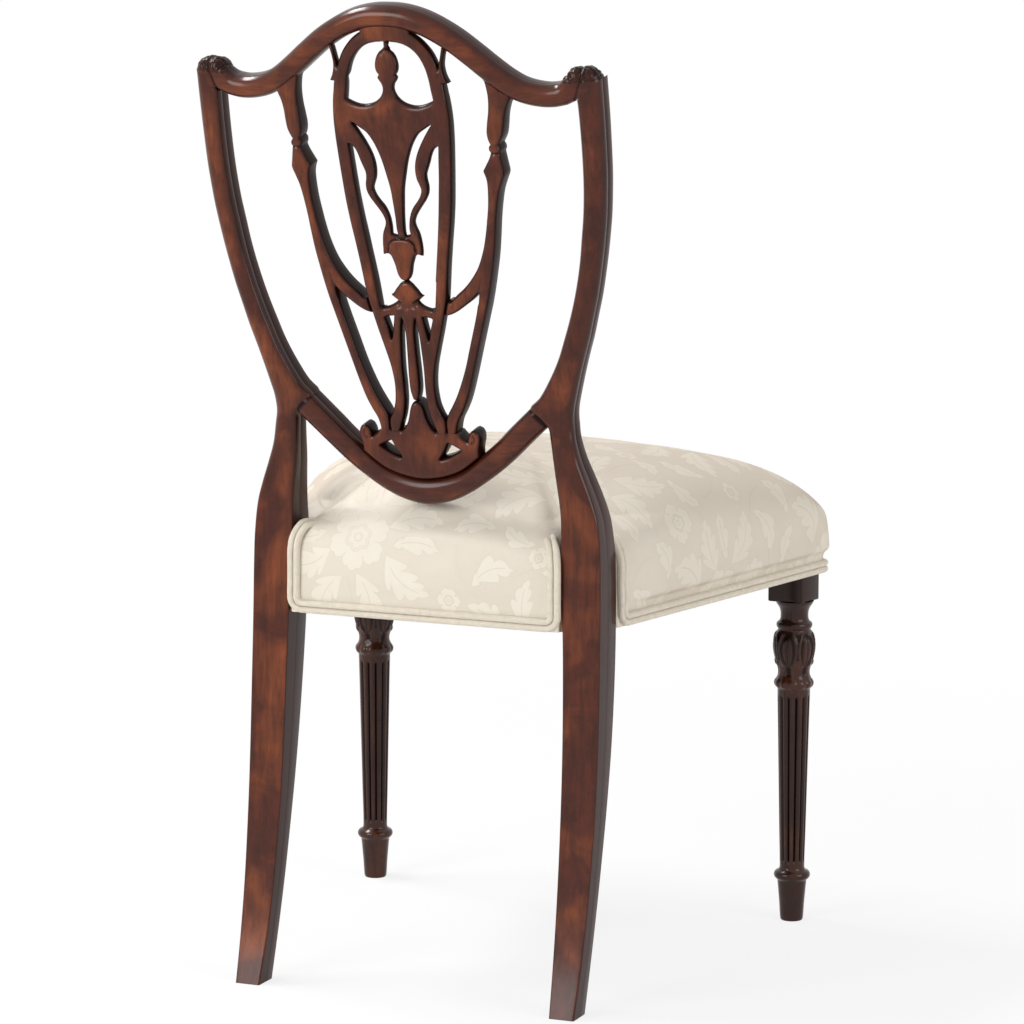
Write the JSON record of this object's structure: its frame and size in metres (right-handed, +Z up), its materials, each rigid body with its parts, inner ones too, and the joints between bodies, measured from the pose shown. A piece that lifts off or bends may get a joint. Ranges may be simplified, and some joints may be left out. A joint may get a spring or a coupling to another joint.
{
  "type": "shield back chair",
  "caption": "Side chair with a pierced shield back, a crowned upholstered seat trimmed with double welt, and turned, carved and fluted front legs.",
  "frame": {"origin": "middle of the footprint on the floor, halfway between the foremost and the rearmost point", "axes": "+Z up, -Y towards the front of the chair, +X to the sitter's left"},
  "size_m": [0.5474, 0.5424, 0.9841],
  "materials": {
    "mahogany": "dark red-brown stain under a satin polish",
    "frame_timber": "bare planed timber",
    "screw_steel": "plain steel",
    "webbing": "woven jute",
    "foam": "stuffing, dull",
    "damask": "cream tone on tone damask",
    "welt": "cream cloth over cord",
    "under_cloth": "thin black cloth"
  },
  "bodies": {
    "root": {"crest_rail": "mahogany", "shield_lower_rail": "mahogany", "centre_splat": "mahogany", "splat_shoe": "mahogany", "side_bar_left": "mahogany", "side_bar_right": "mahogany", "rear_leg_left": "mahogany", "rear_leg_right": "mahogany", "front_leg_left": "mahogany", "front_leg_right": "mahogany", "crest_pin_left": "frame_timber", "crest_pin_right": "frame_timber", "lower_rail_pin_left": "frame_timber", "lower_rail_pin_right": "frame_timber", "seat_rail_front": "frame_timber", "seat_rail_rear": "frame_timber", "seat_rail_left": "frame_timber", "seat_rail_right": "frame_timber", "corner_brace_front_left": "frame_timber", "corner_brace_front_right": "frame_timber", "corner_brace_rear_left": "frame_timber", "corner_brace_rear_right": "frame_timber", "brace_screw_front_left_1": "screw_steel", "brace_screw_front_left_2": "screw_steel", "brace_screw_front_right_1": "screw_steel", "brace_screw_front_right_2": "screw_steel", "brace_screw_rear_left_1": "screw_steel", "brace_screw_rear_left_2": "screw_steel", "brace_screw_rear_right_1": "screw_steel", "brace_screw_rear_right_2": "screw_steel", "webbing_along_1": "webbing", "webbing_along_2": "webbing", "webbing_along_3": "webbing", "webbing_across_1": "webbing", "webbing_across_2": "webbing", "webbing_across_3": "webbing", "hessian_sheet": "webbing", "seat_foam": "foam", "seat_cover": "damask", "welt_round_seat": "welt", "welt_rear": "welt", "under_cloth": "under_cloth"}
  },
  "joints": []
}
